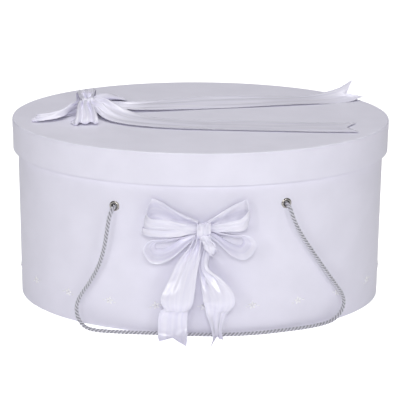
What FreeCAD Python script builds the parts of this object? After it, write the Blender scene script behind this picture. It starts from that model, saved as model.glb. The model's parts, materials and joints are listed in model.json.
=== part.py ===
"""Oval hat box with a lift-off lid, a cord handle, satin bows and a row of small raised flowers.

The box is rolled and flat greyboard, covered outside and lined inside with paper. The origin is the
centre of the oval foot, on the surface that the box stands on. +Z is up, X runs along the oval's
length and -Y is the front, where the cord handle and the bow are. All sizes are in millimetres.
"""

import FreeCAD
import Part
import math
import os
from FreeCAD import Vector

# Box
BODY_LENGTH = 440.0  # outside of the covered wall, along X
BODY_WIDTH = 304.0  # outside of the covered wall, along Y
BODY_HEIGHT = 217.7  # from the foot to the top of the covered wall
WALL_BOARD = 3.0
BASE_BOARD = 3.0
PAPER = 0.3  # covering and lining paper
FOOT_PAPER = 0.4  # heavier sheet under the base
FOOT_INSET = 3.0  # the foot sheet stops this far inside the outline
COVER_TURN_IN = 15.0  # covering paper folded over the wall's top edge and under the base
LINING_SETBACK = 4.0  # bare turned paper left above the lining

# Lid
LID_DEPTH = 38.0  # height of the lid's rim
LID_GAP = 2.1  # all round, between the wall and the lid's lining
LID_SEAT_GAP = 0.2  # between the lid's underside and the wall's top edge
LID_BOARD = 3.0
RIM_BOARD = 3.0
TOP_SKIRT = 12.0  # the top sheet folded down over the rim
RIM_COVER_DROP = 2.2  # the rim's strip starts this far below the top
RIM_TURN_IN = 12.0
LID_EDGE_RADIUS = 1.5

# Eyelets
EYELET_METAL = 0.35
EYELET_FLANGE = 6.0  # radius
EYELET_FLANGE_HEIGHT = 1.3
EYELET_ROLL = 0.9  # height of the rolled-over inner end
EYELET_ROLL_RADIUS = 4.6
EYELET_HOLE_CLEARANCE = 0.05
EYELET_SEAT_ALLOWANCE = 0.1  # a flat washer against the curved wall
EYELET_SPACING = 196.0
EYELET_DROP = 29.0  # from the lid's rim down to the eyelets' middle
EYELET_PUNCH_ERROR = 2.4  # the front left hole is this much low and the right one this much high
WASHER_RADIUS = 5.6
WASHER_THICKNESS = 0.5

# Cord handle
CORD_DIAMETER = 5.0
CORD_PLAY = 0.5  # between the cord and an eyelet's bore, all round
CORD_BEND_SHARE = 0.45  # share of the shorter run that each bend takes up
KNOT_RADIUS = 6.5
KNOT_GAP = 1.0  # between an eyelet's inner end and its knot
CORD_EXIT = 11.0  # the cord's first and last bends are this far out of the wall
# From the left eyelet's first bend to the right one's: X, how far in front of the wall it runs, and
# its height as a percentage of the way from the floor up to the eyelets
CORD_ROUTE = [
    (-105.5, 14.6, 84.5),
    (-109.0, 14.5, 68.1),
    (-116.0, 13.3, 51.6),
    (-127.5, 12.6, 36.5),
    (-139.0, 12.5, 24.7),
    (-144.5, 13.4, 14.8),
    (-142.5, 15.5, 5.6),
    (-134.5, 17.6, 0.5),
    (-124.0, 19.9, 0.0),
    (-104.0, 15.6, 0.0),
    (-78.0, 9.9, 0.0),
    (-48.0, 5.2, 0.0),
    (-12.0, 4.7, 0.0),
    (30.0, 6.4, 0.0),
    (66.0, 7.0, 0.0),
    (96.0, 6.2, 0.0),
    (124.0, 8.4, 0.0),
    (146.0, 8.8, 0.0),
    (160.0, 9.2, 1.3),
    (169.5, 10.9, 7.9),
    (171.0, 11.4, 17.8),
    (161.0, 10.9, 29.6),
    (148.5, 11.9, 42.4),
    (134.0, 11.9, 58.2),
    (119.0, 11.7, 74.0),
    (107.5, 12.9, 88.5),
]

# Front bow, tied from a satin ribbon
BOW_BACK_GAP = 2.0  # between the wall and the bow's loops
BOW_DEPTH = 24.0  # how far the loops stand forward
BOW_KNOT_X = 4.0
BOW_KNOT_DROP = 49.5  # from the lid's rim down to the knot's middle
BOW_KNOT_SIZE = (17.0, 22.0, 17.0)
LOOP_OUTLINES = {  # X and Z from the knot's middle
    "bow_left_upper_loop": [
        (-10.0, 1.5), (-44.0, 3.0), (-66.0, 9.0), (-60.0, 37.0), (-34.0, 18.0), (-10.0, 7.0),
    ],
    "bow_left_lower_loop": [
        (-10.0, 0.0), (-44.0, 1.0), (-68.0, 6.0), (-66.0, -24.0), (-52.0, -41.0), (-30.0, -28.0), (-10.0, -7.0),
    ],
    "bow_right_upper_loop": [
        (10.0, 1.5), (34.0, 5.0), (50.0, 13.0), (49.0, 37.0), (28.0, 24.0), (10.0, 7.0),
    ],
    "bow_right_lower_loop": [
        (10.0, 0.0), (34.0, 3.0), (56.0, 10.0), (58.0, -10.0), (46.0, -33.0), (28.0, -26.0), (10.0, -7.0),
    ],
}
LOOP_CORNER = 2.5
TAIL_THICKNESS = 4.0
# Each tail's stations: X, how far it stands off the wall's front, its height as a percentage of the
# knot's, and half its width (X, Y, Z)
BOW_TAILS = {
    "bow_left_tail": [
        ((-2.0, 14.0, 87.5), (6.0, 0.0, 2.0)),
        ((-13.0, 21.0, 72.0), (12.0, 0.0, 3.0)),
        ((-25.0, 31.0, 46.0), (18.0, 0.0, 1.0)),
        ((-27.0, 28.0, 31.0), (16.0, 0.0, 0.0)),
        ((-31.0, 17.0, 20.0), (17.0, 0.0, 0.0)),
        ((-31.0, 17.0, 9.0), (17.0, -1.0, 0.0)),
        ((-31.0, 26.0, 2.4), (16.0, -5.0, 0.0)),
    ],
    "bow_right_tail": [
        ((9.5, 14.0, 88.0), (4.0, 0.0, 1.0)),
        ((7.0, 17.0, 72.0), (5.0, -4.0, 1.0)),
        ((13.0, 22.0, 56.0), (11.0, -4.0, 5.0)),
        ((22.0, 29.0, 40.0), (17.0, -2.0, 2.0)),
        ((21.0, 24.0, 29.0), (15.0, 2.0, -2.0)),
        ((18.0, 18.0, 18.0), (10.0, 8.0, -2.0)),
        ((17.0, 22.0, 3.5), (6.0, 11.0, 0.0)),
    ],
}

# Bow on the lid, and its two long tails
LID_BOW_LIFT = 0.6  # above the lid's paper
LID_BOW_KNOT = (-136.0, 10.0)
LID_BOW_KNOT_SIZE = (22.0, 26.0, 20.0)
LID_LOOPS = {  # each loop's outline from above, and its height
    "lid_bow_left_front_loop": (
        [(-148.5, 4.0), (-150.0, 14.0), (-176.0, 2.0), (-201.0, -14.0), (-194.0, -36.0), (-163.0, -30.0)],
        14.0,
    ),
    "lid_bow_left_low_loop": (
        [(-145.0, -4.5), (-151.0, -22.0), (-157.0, -34.0), (-152.0, -50.0), (-122.0, -52.0), (-127.0, -4.5)],
        16.0,
    ),
    "lid_bow_left_rear_loop": (
        [(-147.0, 24.5), (-131.0, 24.5), (-130.0, 44.0), (-131.0, 66.0), (-152.0, 68.0), (-154.0, 48.0)],
        18.0,
    ),
    "lid_bow_right_rear_loop": (
        [(-127.0, 25.5), (-122.0, 24.0), (-98.0, 38.0), (-86.0, 58.0), (-104.0, 70.0), (-127.0, 48.0)],
        20.0,
    ),
}
LID_TAILS = {
    "lid_front_tail": [
        ((-119.0, 2.0, 12.0), (5.0, 10.0, 0.0)),
        ((-102.0, -16.0, 15.0), (10.0, 15.0, 1.0)),
        ((-78.0, -30.0, 8.0), (6.0, 17.0, -2.0)),
        ((-40.0, -40.0, 3.0), (2.0, 20.0, 0.0)),
        ((60.0, -48.0, 2.6), (1.0, 20.0, 0.0)),
        ((184.0, -52.0, 2.6), (1.0, 20.0, 0.0)),
    ],
    "lid_rear_tail": [
        ((-119.0, 10.0, 7.5), (-1.0, 4.0, 0.0)),
        ((-93.0, 22.0, 8.0), (-4.0, 10.0, 0.0)),
        ((-56.0, 32.0, 10.0), (-4.0, 17.0, 2.0)),
        ((0.0, 44.0, 8.0), (-4.0, 20.0, 2.0)),
        ((80.0, 56.0, 4.0), (-4.0, 18.0, 1.0)),
        ((160.0, 72.0, 3.5), (-4.0, 14.0, 1.0)),
        ((200.0, 84.0, 14.0), (-4.0, 14.0, 4.0)),
    ],
}

# Raised flowers round the foot
FLOWER_COUNT = 21
FLOWER_HEIGHT = 35.0
FLOWER_START = 5.0  # along the outline, from the middle of the front to the first flower
FLOWER_PETALS = 5
OUTLINE_STEPS = 3600  # points that the outline is measured with
PETAL_RADIUS = 2.9
PETAL_OFFSET = 3.6
PETAL_THICKNESS = 1.1
PEARL_RADIUS = 1.5
PEARL_STAND = 0.9  # height of a pearl's centre above the petals

EYELET_BORE = CORD_DIAMETER / 2 + CORD_PLAY  # radius of the hole through the eyelet
LID_UNDERSIDE = BODY_HEIGHT + LID_SEAT_GAP
TOTAL_HEIGHT = LID_UNDERSIDE + PAPER + LID_BOARD + PAPER
RIM_BOTTOM = TOTAL_HEIGHT - LID_DEPTH
EYELET_HEIGHT = RIM_BOTTOM - EYELET_DROP
BOW_KNOT_HEIGHT = RIM_BOTTOM - BOW_KNOT_DROP
WALL_STACK = PAPER + WALL_BOARD + PAPER
EYELET_CLENCH = WALL_STACK + EYELET_SEAT_ALLOWANCE + WASHER_THICKNESS  # from flange to roll
CORD_END = EYELET_CLENCH + EYELET_ROLL + KNOT_GAP  # the cord's ends are this far inside
BODY_HALF = (BODY_LENGTH / 2, BODY_WIDTH / 2)


def oval(grown, bottom, top):
    """A closed oval block whose outline is the body's, grown by that much all round."""
    ellipse = Part.Ellipse(Vector(0, 0, bottom), BODY_HALF[0] + grown, BODY_HALF[1] + grown)
    face = Part.Face(Part.Wire(ellipse.toShape()))
    return face.extrude(Vector(0, 0, top - bottom))


def ring(outer, inner, bottom, top):
    """An oval ring between two outlines."""
    return oval(outer, bottom, top).cut(oval(inner, bottom - 1, top + 1))


def fuse(shapes):
    """One clean solid from several."""
    return shapes[0].multiFuse(shapes[1:]).removeSplitter()


def soften_top(block, radius):
    """Rounds the top edge of an oval block."""
    top = block.BoundBox.ZMax
    edges = [e for e in block.Edges if e.BoundBox.ZMin > top - 0.01]
    return block.makeFillet(radius, edges)


def wall_y(x):
    """How far the wall's outside is from the middle, front or rear, at that X."""
    return BODY_HALF[1] * math.sqrt(1 - (x / BODY_HALF[0]) ** 2)


def wall_seat(x, height, side):
    """A placement on the wall's outside: local Z points out of the wall, and side is -1 at the front."""
    a, b = BODY_HALF
    y = side * wall_y(x)
    return Vector(x, y, height), Vector(x / a**2, y / b**2, 0).normalize()


def seated(shape, seat):
    """A copy of a shape made about local Z, set on a wall seat."""
    place, normal = seat
    copy = shape.copy()
    copy.Placement = FreeCAD.Placement(place, FreeCAD.Rotation(Vector(0, 0, 1), normal))
    return copy


def front_seats():
    """The two front eyelets' seats, left then right."""
    half = EYELET_SPACING / 2
    return [
        wall_seat(-half, EYELET_HEIGHT - EYELET_PUNCH_ERROR, -1),
        wall_seat(half, EYELET_HEIGHT + EYELET_PUNCH_ERROR, -1),
    ]


def rear_seats():
    """The two rear eyelets' seats, in the order of the front ones."""
    half = EYELET_SPACING / 2
    return [wall_seat(-half, EYELET_HEIGHT, 1), wall_seat(half, EYELET_HEIGHT, 1)]


def punched(shell):
    """A wall layer with the four eyelet holes through it."""
    radius = EYELET_BORE + EYELET_METAL + EYELET_HOLE_CLEARANCE
    reach = WALL_STACK * 3
    drill = Part.makeCylinder(radius, 2 * reach, Vector(0, 0, -reach))
    return shell.cut([seated(drill, seat) for seat in front_seats() + rear_seats()])


def body_parts():
    """The covered, lined wall and base."""
    board_bottom = FOOT_PAPER + PAPER
    board_top = BODY_HEIGHT - PAPER
    wall_out, wall_in = -PAPER, -PAPER - WALL_BOARD
    turn_bottom = BODY_HEIGHT - COVER_TURN_IN
    base_top = board_bottom + BASE_BOARD
    cover = fuse(
        [
            ring(0, wall_out, FOOT_PAPER, BODY_HEIGHT),
            ring(0, wall_in - PAPER, board_top, BODY_HEIGHT),
            ring(wall_in, wall_in - PAPER, turn_bottom, BODY_HEIGHT),
            ring(0, -COVER_TURN_IN, FOOT_PAPER, board_bottom),
        ]
    )
    lining = fuse(
        [
            ring(wall_in, wall_in - PAPER, base_top, turn_bottom),
            ring(wall_in - PAPER, wall_in - 2 * PAPER, turn_bottom - PAPER, BODY_HEIGHT - LINING_SETBACK),
        ]
    )
    return {
        "wall_board": punched(ring(wall_out, wall_in, board_bottom, board_top)),
        "base_board": oval(wall_in, board_bottom, base_top),
        "body_cover": punched(cover),
        "foot_sheet": oval(-FOOT_INSET, 0, FOOT_PAPER),
        "wall_lining": punched(lining),
        "base_lining": oval(wall_in - PAPER, base_top, base_top + FOOT_PAPER),
    }


def lid_parts():
    """The covered, lined lid."""
    rim_in = LID_GAP + 2 * PAPER
    rim_out = rim_in + RIM_BOARD
    top = TOTAL_HEIGHT
    board_top = top - PAPER
    skirt_bottom = top - TOP_SKIRT
    turn_top = RIM_BOTTOM + RIM_TURN_IN
    inner_radius = LID_EDGE_RADIUS - PAPER
    rim_block = soften_top(oval(rim_out, RIM_BOTTOM + PAPER, board_top), inner_radius)
    top_cover = soften_top(oval(rim_out + PAPER, skirt_bottom, top), LID_EDGE_RADIUS)
    rim_cover = fuse(
        [
            ring(rim_out + 2 * PAPER, rim_out + PAPER, skirt_bottom - PAPER, top - RIM_COVER_DROP),
            ring(rim_out + PAPER, rim_out, RIM_BOTTOM, skirt_bottom),
            ring(rim_out + PAPER, rim_in - PAPER, RIM_BOTTOM, RIM_BOTTOM + PAPER),
            ring(rim_in, rim_in - PAPER, RIM_BOTTOM, turn_top),
        ]
    )
    rim_lining = fuse(
        [
            ring(rim_in, rim_in - PAPER, turn_top, LID_UNDERSIDE),
            ring(rim_in - PAPER, rim_in - 2 * PAPER, RIM_BOTTOM + LINING_SETBACK, turn_top + PAPER),
        ]
    )
    return {
        "lid_rim_board": rim_block.cut(oval(rim_in, RIM_BOTTOM - 1, top + 1)),
        "lid_board": oval(rim_in, board_top - LID_BOARD, board_top),
        "lid_top_cover": top_cover.cut(soften_top(oval(rim_out, skirt_bottom - 1, board_top), inner_radius)),
        "lid_rim_cover": rim_cover,
        "lid_lining": oval(rim_in, LID_UNDERSIDE, LID_UNDERSIDE + PAPER),
        "lid_rim_lining": rim_lining,
    }


def eyelet():
    """A flanged tube, domed outside and rolled over inside, about local Z with its flange seat at 0."""
    bore, outer = EYELET_BORE, EYELET_BORE + EYELET_METAL
    inner_end = EYELET_CLENCH
    lip = EYELET_FLANGE_HEIGHT / 2
    middle = (bore + EYELET_FLANGE) / 2
    roll_middle = (bore + EYELET_ROLL_RADIUS) / 2 + EYELET_METAL
    dome_start, dome_top = Vector(bore, 0, lip), Vector(middle, 0, EYELET_FLANGE_HEIGHT)
    flange_edge, flange_seat = Vector(EYELET_FLANGE, 0, lip / 2), Vector(EYELET_FLANGE, 0, 0)
    roll_start, roll_end = Vector(EYELET_ROLL_RADIUS, 0, -inner_end), Vector(bore, 0, -inner_end - EYELET_ROLL)
    dome = Part.Arc(dome_start, dome_top, flange_edge).toShape()
    roll = Part.Arc(roll_start, Vector(roll_middle, 0, -inner_end - EYELET_ROLL * 0.8), roll_end).toShape()
    barrel = [Vector(outer, 0, 0), Vector(outer, 0, -inner_end)]
    lines = Part.makePolygon([flange_edge, flange_seat] + barrel + [roll_start])
    closing = Part.makeLine(roll_end, dome_start)
    wire = Part.Wire([dome] + lines.Edges + [roll, closing])
    return Part.Face(wire).revolve(Vector(0, 0, 0), Vector(0, 0, 1), 360)


def washer():
    """The flat ring that an eyelet is rolled over, inside the wall."""
    hole = EYELET_BORE + EYELET_METAL + EYELET_HOLE_CLEARANCE
    place = Vector(0, 0, -EYELET_CLENCH)
    disc = Part.makeCylinder(WASHER_RADIUS, WASHER_THICKNESS, place)
    return disc.cut(Part.makeCylinder(hole, WASHER_THICKNESS, place))


def eyelet_parts():
    """Four eyelets, each with its washer."""
    names = ["front_left", "front_right", "rear_left", "rear_right"]
    parts = {}
    for name, seat in zip(names, front_seats() + rear_seats()):
        parts[name + "_eyelet"] = seated(eyelet(), seat)
        parts[name + "_washer"] = seated(washer(), seat)
    return parts


def cord_path():
    """The cord's corner points, and its centreline as straight runs joined by tangent arcs."""
    left, right = front_seats()
    ends = [(left, -CORD_END), (left, CORD_EXIT), (right, CORD_EXIT), (right, -CORD_END)]
    ends = [place + normal * out for (place, normal), out in ends]
    floor = CORD_DIAMETER / 2
    climb = (EYELET_HEIGHT - floor) / 100
    route = [Vector(x, -wall_y(x) - off, floor + climb * rise) for x, off, rise in CORD_ROUTE]
    points = ends[:2] + route + ends[2:]
    edges, start, radii = [], points[0], []
    for before, corner, after in zip(points, points[1:], points[2:]):
        back, ahead = before - corner, after - corner
        cut = CORD_BEND_SHARE * min(back.Length, ahead.Length)
        turn = math.pi - back.getAngle(ahead)
        radii.append(cut / math.tan(turn / 2))
        bend_from = corner + Vector(back).normalize() * cut
        bend_to = corner + Vector(ahead).normalize() * cut
        middle = (Vector(back).normalize() + Vector(ahead).normalize()).normalize()
        to_centre = math.hypot(radii[-1], cut)
        bend_middle = corner + middle * (to_centre - radii[-1])
        edges.append(Part.LineSegment(start, bend_from).toShape())
        edges.append(Part.Arc(bend_from, bend_middle, bend_to).toShape())
        start = bend_to
    edges.append(Part.LineSegment(start, points[-1]).toShape())
    print("cord points", [tuple(round(v, 2) for v in p) for p in points[:2] + points[-2:]])
    print("cord bend radii", [round(r, 1) for r in radii])
    return points, Part.Wire(edges)


def cord_parts():
    """The cord handle outside, and a stopper knot on each end inside the wall."""
    points, path = cord_path()
    circle = Part.Circle(points[0], points[1] - points[0], CORD_DIAMETER / 2)
    tube = path.makePipeShell([Part.Wire(circle.toShape())], True, True)
    section = math.pi * CORD_DIAMETER**2 / 4
    print("cord length %.1f" % path.Length)
    print("cord volume over section times length %.4f" % (tube.Volume / (section * path.Length)))
    knot = Part.makeSphere(KNOT_RADIUS, Vector(0, 0, KNOT_GAP - CORD_END - KNOT_RADIUS))
    side = 4 * KNOT_RADIUS
    knot = knot.cut(Part.makeBox(side, side, side, Vector(-side / 2, -side / 2, -CORD_END)))
    left, right = front_seats()
    return {
        "handle_cord": tube,
        "left_stopper_knot": seated(knot, left),
        "right_stopper_knot": seated(knot, right),
    }


def prism(outline, along):
    """A closed block from an outline of points, drawn out along a direction, with its long edges rounded."""
    corners = [Vector(*p) for p in outline]
    face = Part.Face(Part.makePolygon(corners + corners[:1]))
    block = face.extrude(along)
    way = Vector(along).normalize()
    edges = [e for e in block.Edges if abs(e.tangentAt(e.FirstParameter).dot(way)) > 0.999]
    return block.makeFillet(LOOP_CORNER, edges)


def ribbon(stations):
    """A flat closed strip through stations, each a centre and half the width across it."""
    centres = [Vector(*c) for c, _ in stations]
    sections = []
    for i, (centre, (_, half)) in enumerate(zip(centres, stations)):
        along = centres[min(i + 1, len(centres) - 1)] - centres[max(i - 1, 0)]
        across = Vector(*half)
        thick = along.cross(across).normalize() * (TAIL_THICKNESS / 2)
        corners = [centre + across + thick, centre - across + thick]
        corners += [centre - across - thick, centre + across - thick]
        sections.append(Part.makePolygon(corners + corners[:1]))
    return Part.makeLoft(sections, True, True)


def front_bow_parts():
    """The front bow: its knot, four loops and two tails, each a plain block of the ribbon's place."""
    back = -BODY_HALF[1] - BOW_BACK_GAP
    parts = {}
    for name, outline in LOOP_OUTLINES.items():
        placed = [(BOW_KNOT_X + x, back, BOW_KNOT_HEIGHT + z) for x, z in outline]
        parts[name] = prism(placed, Vector(0, -BOW_DEPTH, 0))
    width, depth, height = BOW_KNOT_SIZE
    corner = Vector(BOW_KNOT_X - width / 2, back - depth, BOW_KNOT_HEIGHT - height / 2)
    knot = Part.makeBox(width, depth, height, corner)
    parts["bow_knot"] = knot.makeFillet(LOOP_CORNER, knot.Edges)
    for name, stations in BOW_TAILS.items():
        front, rise = -BODY_HALF[1], BOW_KNOT_HEIGHT / 100
        placed = [((x, front - off, rise * z), half) for (x, off, z), half in stations]
        parts[name] = ribbon(placed)
    return parts


def lid_bow_parts():
    """The lid's bow and its long tails, each a plain block of the ribbon's place."""
    bottom = TOTAL_HEIGHT + LID_BOW_LIFT
    parts = {}
    for name, (outline, height) in LID_LOOPS.items():
        parts[name] = prism([(x, y, bottom) for x, y in outline], Vector(0, 0, height))
    width, depth, height = LID_BOW_KNOT_SIZE
    corner = Vector(LID_BOW_KNOT[0] - width / 2, LID_BOW_KNOT[1] - depth / 2, bottom)
    knot = Part.makeBox(width, depth, height, corner)
    parts["lid_bow_knot"] = knot.makeFillet(LOOP_CORNER, knot.Edges)
    for name, stations in LID_TAILS.items():
        parts[name] = ribbon([((x, y, z + TOTAL_HEIGHT), half) for (x, y, z), half in stations])
    return parts


def flower_seats():
    """Seats evenly spaced along the wall's outline, at the flowers' height."""
    a, b = BODY_HALF
    angles = [2 * math.pi * i / OUTLINE_STEPS for i in range(OUTLINE_STEPS + 1)]
    outline = [(a * math.sin(t), -b * math.cos(t)) for t in angles]
    lengths = [0.0]
    for p, q in zip(outline, outline[1:]):
        lengths.append(lengths[-1] + math.dist(p, q))
    seats, i = [], 0
    for n in range(FLOWER_COUNT):
        target = FLOWER_START + lengths[-1] * n / FLOWER_COUNT
        while lengths[i] < target:
            i += 1
        x, y = outline[i]
        seats.append((Vector(x, y, FLOWER_HEIGHT), Vector(x / a**2, y / b**2, 0).normalize()))
    return seats


def flower_parts():
    """The raised flowers and the pearls at their centres, as two groups."""
    petals = [Part.makeCylinder(PETAL_RADIUS, PETAL_THICKNESS)]
    for n in range(FLOWER_PETALS):
        turn = 2 * math.pi * n / FLOWER_PETALS
        place = Vector(PETAL_OFFSET * math.cos(turn), PETAL_OFFSET * math.sin(turn), 0)
        petals.append(Part.makeCylinder(PETAL_RADIUS, PETAL_THICKNESS, place))
    flower = fuse(petals)
    pearl = Part.makeSphere(PEARL_RADIUS, Vector(0, 0, PETAL_THICKNESS + PEARL_STAND))
    pearl = pearl.cut(flower)
    seats = flower_seats()
    return {
        "raised_flowers": Part.makeCompound([seated(flower, s) for s in seats]),
        "flower_pearls": Part.makeCompound([seated(pearl, s) for s in seats]),
    }


def main():
    """Builds every sub-part and writes each to its own STEP file."""
    os.makedirs("parts", exist_ok=True)
    makers = [body_parts, lid_parts, eyelet_parts, cord_parts, front_bow_parts, lid_bow_parts, flower_parts]
    for make in makers:
        for name, shape in make().items():
            if not shape.isValid() or any(s.Volume <= 0 for s in shape.Solids):
                print("not a valid solid:", name)
            shape.exportStep("parts/" + name + ".step")
    print("total height %.2f, rim bottom %.2f" % (TOTAL_HEIGHT, RIM_BOTTOM))


main()
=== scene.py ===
"""Looks of an oval, paper-covered hat box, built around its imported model.

The box and lid keep their own shapes and get paper, board and nickel finishes. The ribbons, the
cord handle, the flowers and their pearls are modelled here in full and stand for the model's
plain solids. Their lengths are in millimetres until a mesh is made, which is in metres.
"""

import json
import logging
import math
from dataclasses import dataclass
from enum import Enum

import bpy
import numpy as np
from mathutils import Matrix, Vector, noise


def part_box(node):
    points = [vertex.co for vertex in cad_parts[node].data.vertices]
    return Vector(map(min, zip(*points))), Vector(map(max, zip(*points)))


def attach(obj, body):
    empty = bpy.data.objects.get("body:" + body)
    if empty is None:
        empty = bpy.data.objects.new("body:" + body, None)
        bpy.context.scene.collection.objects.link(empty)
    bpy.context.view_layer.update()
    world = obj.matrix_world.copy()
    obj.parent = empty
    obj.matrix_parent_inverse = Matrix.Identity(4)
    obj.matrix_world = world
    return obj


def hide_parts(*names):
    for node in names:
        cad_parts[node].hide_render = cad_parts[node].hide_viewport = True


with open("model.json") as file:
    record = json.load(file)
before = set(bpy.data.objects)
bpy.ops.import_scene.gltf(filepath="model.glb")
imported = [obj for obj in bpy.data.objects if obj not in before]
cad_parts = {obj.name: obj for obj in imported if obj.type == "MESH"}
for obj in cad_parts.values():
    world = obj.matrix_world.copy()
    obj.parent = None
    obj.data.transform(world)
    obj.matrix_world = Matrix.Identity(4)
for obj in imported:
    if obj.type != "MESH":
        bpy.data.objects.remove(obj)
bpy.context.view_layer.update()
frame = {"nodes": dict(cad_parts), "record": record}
MM = 0.001
LOG = logging.getLogger("hat_box")

Triple = tuple[float, float, float]
Tree = bpy.types.NodeTree
Node = bpy.types.Node
Socket = bpy.types.NodeSocket
Piece = bpy.types.Object


class Body(Enum):
    """The two bodies that pieces ride on."""

    BOX = "box"
    LID = "lid"


class Slot(Enum):
    """The record's material slots."""

    BOARD = "greyboard"
    COVER = "cover_paper"
    LINING = "lining_paper"
    METAL = "eyelet_metal"
    CORD = "twisted_cord"
    SATIN = "satin_ribbon"
    FLOWER = "flower_lacquer"
    PEARL = "pearl"


class Cut(Enum):
    """How a ribbon's last end is cut."""

    STRAIGHT = "straight"
    SWALLOWTAIL = "swallowtail"


class Held(Enum):
    """How a ribbon keeps its shape."""

    FOLDED = "folded"
    HUNG = "hung"
    LAID = "laid"


# --- Finishes ---


def linear(code: str) -> tuple[float, float, float, float]:
    """Turns an sRGB hex colour into linear light.

    Args:
        code: Six hex digits.

    Returns:
        Red, green, blue and an alpha of 1.
    """
    parts = [int(code[i : i + 2], 16) / 255 for i in (0, 2, 4)]
    light = [p / 12.92 if p <= 0.04045 else ((p + 0.055) / 1.055) ** 2.4 for p in parts]
    return (*light, 1.0)


def adjust(node: Node, values: dict) -> None:
    """Sets a node's properties or, where it has none of that name, its inputs.

    Args:
        node: The node.
        values: Property names, or input names or numbers, and their values.
    """
    for key, value in values.items():
        if isinstance(key, str) and hasattr(node, key):
            setattr(node, key, value)
        else:
            node.inputs[key].default_value = value


def connect(node: Node, outputs: dict) -> None:
    """Feeds a node's inputs, by name or number, from other nodes' outputs."""
    for key, output in outputs.items():
        node.id_data.links.new(output, node.inputs[key])


def add_node(tree: Tree, kind: str, settings: dict | None = None, links: dict | None = None) -> Node:
    """Adds a node with its settings and links.

    Args:
        tree: The node tree.
        kind: The node's type name.
        settings: Property names, or input names or numbers, and their values.
        links: Input names or numbers, and the output sockets that feed them.

    Returns:
        The new node.
    """
    node = tree.nodes.new(kind)
    adjust(node, settings or {})
    connect(node, links or {})
    return node


@dataclass(frozen=True)
class Finish:
    """A finish: its name, colour and how it takes light."""

    name: str
    colour: str
    roughness: float
    ior: float = 1.5
    metallic: float = 0.0

    def surface(self, tree: Tree, shader: Node) -> None:
        """Adds this finish's own pattern. A plain finish has none."""

    def build(self) -> bpy.types.Material:
        """Makes the material.

        Returns:
            The new material, with its shader's constants and this finish's pattern.
        """
        material = bpy.data.materials.new(self.name)
        material.use_nodes = True
        tree = material.node_tree
        shader = tree.nodes["Principled BSDF"]
        adjust(shader, {"Base Color": linear(self.colour), "Roughness": self.roughness})
        adjust(shader, {"IOR": self.ior, "Metallic": self.metallic})
        self.surface(tree, shader)
        return material


def grain(size_mm: float, detail: float) -> dict:
    """Settings of a noise whose blobs are a real size, on coordinates in metres."""
    return {"Scale": 1 / (size_mm * MM), "Detail": detail}


def relief(depth_mm: float) -> dict:
    """Settings of a bump that is a real depth from its lowest to its highest."""
    return {"Strength": 1.0, "Distance": depth_mm * MM}


def mottle(tree: Tree, pattern: Socket, low: str, high: str) -> Socket:
    """Mottles a surface in two colours, blended where a pattern is between 0.35 and 0.65.

    Args:
        tree: The node tree.
        pattern: The pattern's socket.
        low: Hex colour where the pattern is lower.
        high: Hex colour where it is higher.

    Returns:
        The mottled colour's socket.
    """
    share = add_node(tree, "ShaderNodeMapRange", {"From Min": 0.35, "From Max": 0.65}, {"Value": pattern})
    colours = {"data_type": "RGBA", 6: linear(low), 7: linear(high)}
    return add_node(tree, "ShaderNodeMix", colours, {0: share.outputs["Result"]}).outputs[2]


@dataclass(frozen=True)
class CoveringPaper(Finish):
    """Calendered covering paper, glued over board: nearly smooth, with a faint pearl sheen."""

    shade: str = "EDEBF8"
    tooth_mm: float = 1.1  # the fibres are about 0.2 mm, drawn coarser so that they show
    tooth_depth_mm: float = 0.02
    wave_mm: float = 34.0  # slow unevenness from the glue and the board under it
    wave_depth_mm: float = 0.1
    gloss_spread: float = 0.08

    def surface(self, tree: Tree, shader: Node) -> None:
        """Adds paper tooth, glue waves and slow clouding.

        Args:
            tree: The material's node tree.
            shader: Its shader.
        """
        place = add_node(tree, "ShaderNodeTexCoord").outputs["Object"]
        clouds = add_node(tree, "ShaderNodeTexNoise", grain(self.wave_mm, 3.0), {"Vector": place})
        tooth = add_node(tree, "ShaderNodeTexNoise", grain(self.tooth_mm, 4.0), {"Vector": place})
        waves = add_node(tree, "ShaderNodeTexNoise", grain(self.wave_mm * 0.6, 1.0), {"Vector": place})
        face = mottle(tree, clouds.outputs["Fac"], self.shade, self.colour)
        span = {"To Min": self.roughness - self.gloss_spread, "To Max": self.roughness + self.gloss_spread}
        gloss = add_node(tree, "ShaderNodeMapRange", span, {"Value": tooth.outputs["Fac"]})
        under = add_node(tree, "ShaderNodeBump", relief(self.wave_depth_mm), {"Height": waves.outputs["Fac"]})
        heights = {"Height": tooth.outputs["Fac"], "Normal": under.outputs["Normal"]}
        skin = add_node(tree, "ShaderNodeBump", relief(self.tooth_depth_mm), heights)
        connect(shader, {"Base Color": face, "Roughness": gloss.outputs["Result"]})
        connect(shader, {"Normal": skin.outputs["Normal"]})
        adjust(shader, {"Sheen Weight": 0.12, "Sheen Roughness": 0.4})


@dataclass(frozen=True)
class Board(Finish):
    """Grey pasteboard from waste paper: speckled, with short fibres."""

    speck: str = "7F7A70"
    speck_mm: float = 0.8
    speck_depth_mm: float = 0.06

    def surface(self, tree: Tree, shader: Node) -> None:
        """Adds dark specks and a felted tooth.

        Args:
            tree: The material's node tree.
            shader: Its shader.
        """
        place = add_node(tree, "ShaderNodeTexCoord").outputs["Object"]
        specks = add_node(tree, "ShaderNodeTexNoise", grain(self.speck_mm, 5.0), {"Vector": place})
        face = mottle(tree, specks.outputs["Fac"], self.speck, self.colour)
        heights = {"Height": specks.outputs["Fac"]}
        felt = add_node(tree, "ShaderNodeBump", relief(self.speck_depth_mm), heights)
        connect(shader, {"Base Color": face, "Normal": felt.outputs["Normal"]})


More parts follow.
